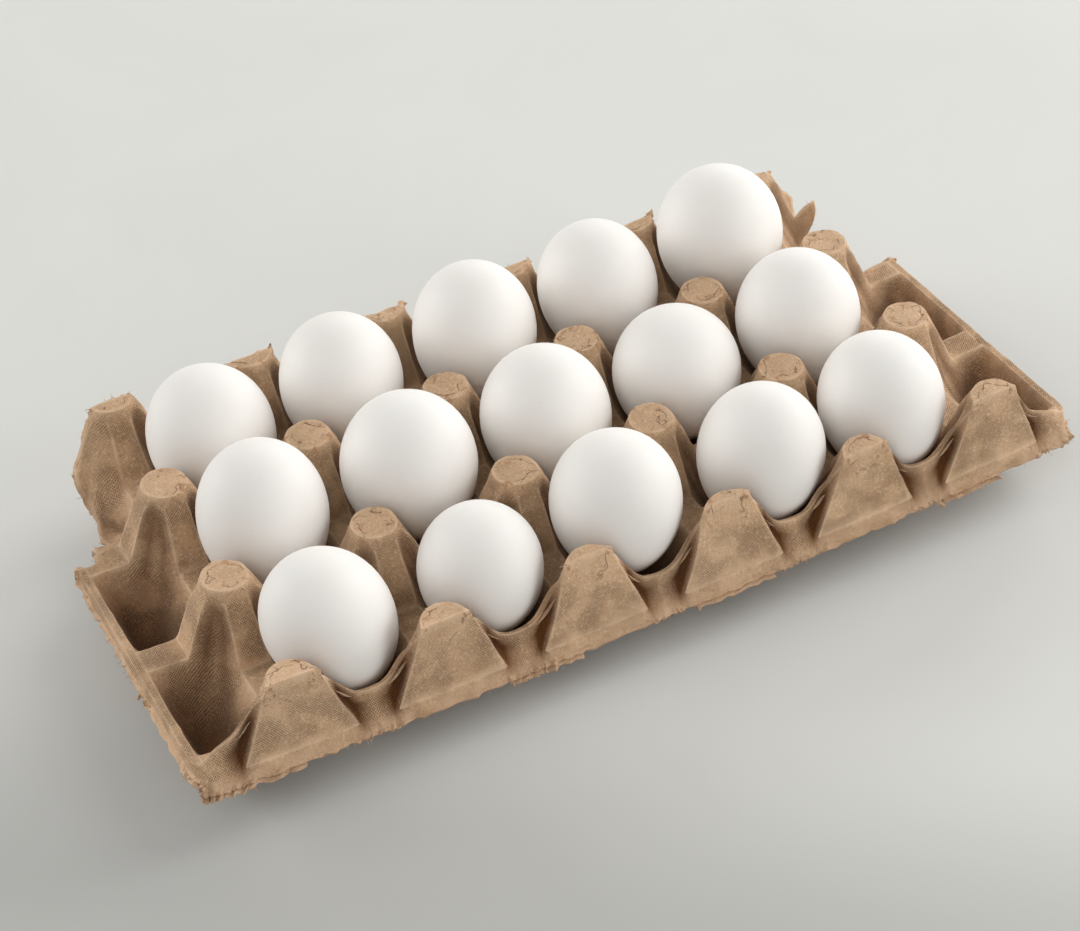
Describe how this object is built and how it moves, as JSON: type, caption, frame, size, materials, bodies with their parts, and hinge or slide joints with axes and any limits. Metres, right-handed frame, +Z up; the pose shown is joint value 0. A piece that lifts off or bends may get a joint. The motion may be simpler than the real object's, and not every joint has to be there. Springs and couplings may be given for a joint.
{
  "type": "egg tray with eggs",
  "caption": "Open moulded pulp tray of egg cups between fluted posts, torn from a larger tray, with a white egg in every whole cup.",
  "frame": {"origin": "on the underside of the middle cup, where the tray stands", "axes": "+X along the rows of five cups, to the right seen from the front edge; +Y from the front edge with its half posts to the torn back; +Z up"},
  "size_m": [0.3002, 0.1491, 0.0697],
  "materials": {
    "pulp": "matte",
    "eggshell": "matte"
  },
  "bodies": {
    "root": {"tray": "pulp", "egg_front_1": "eggshell", "egg_front_2": "eggshell", "egg_front_3": "eggshell", "egg_front_4": "eggshell", "egg_front_5": "eggshell", "egg_middle_1": "eggshell", "egg_middle_2": "eggshell", "egg_middle_3": "eggshell", "egg_middle_4": "eggshell", "egg_middle_5": "eggshell", "egg_back_1": "eggshell", "egg_back_2": "eggshell", "egg_back_3": "eggshell", "egg_back_4": "eggshell", "egg_back_5": "eggshell"}
  },
  "joints": []
}
